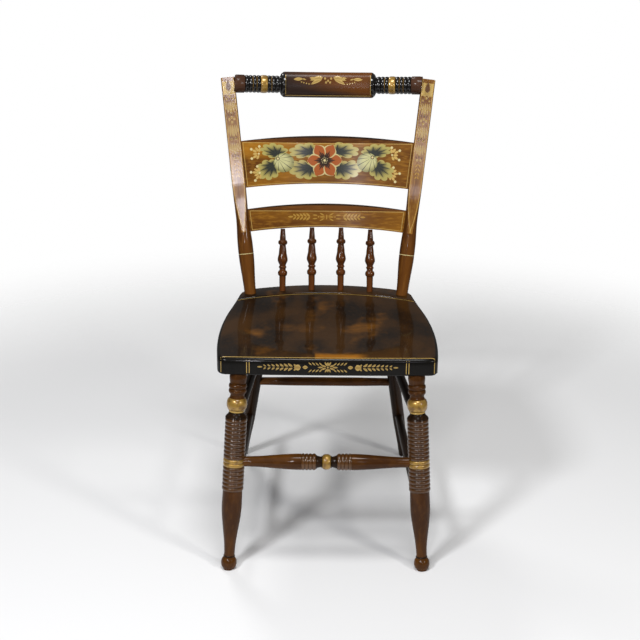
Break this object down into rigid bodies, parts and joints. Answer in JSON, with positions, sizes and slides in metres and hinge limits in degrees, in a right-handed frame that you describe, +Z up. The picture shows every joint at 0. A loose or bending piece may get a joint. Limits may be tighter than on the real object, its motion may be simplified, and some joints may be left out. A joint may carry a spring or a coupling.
{
  "type": "side chair",
  "caption": "Painted side chair with a dished plank seat, ring-turned front legs, bowed slats on short spindles and a turned crest with a flattened middle block.",
  "frame": {"origin": "on the floor, under the middle of the chair's bounding box", "axes": "+X to the right as seen from in front, +Y to the back, +Z up"},
  "size_m": [0.4602, 0.579, 0.9042],
  "materials": {
    "dark_paint": "near-black brown paint under glossy varnish, its turned rings and balls picked out in bronze gold",
    "grained_paint": "amber and dark brown mottled graining under glossy varnish, with gold striping and stencilled leaves and fruit"
  },
  "bodies": {
    "root": {"back_post_left": "dark_paint", "back_post_right": "dark_paint", "crest_rail": "dark_paint", "spindle_1": "dark_paint", "spindle_2": "dark_paint", "spindle_3": "dark_paint", "spindle_4": "dark_paint", "front_leg_left": "dark_paint", "front_leg_right": "dark_paint", "rear_leg_left": "dark_paint", "rear_leg_right": "dark_paint", "front_stretcher": "dark_paint", "rear_stretcher": "dark_paint", "side_stretcher_upper_left": "dark_paint", "side_stretcher_upper_right": "dark_paint", "side_stretcher_lower_left": "dark_paint", "side_stretcher_lower_right": "dark_paint", "seat": "grained_paint", "wide_slat": "grained_paint", "narrow_slat": "grained_paint"}
  },
  "joints": []
}
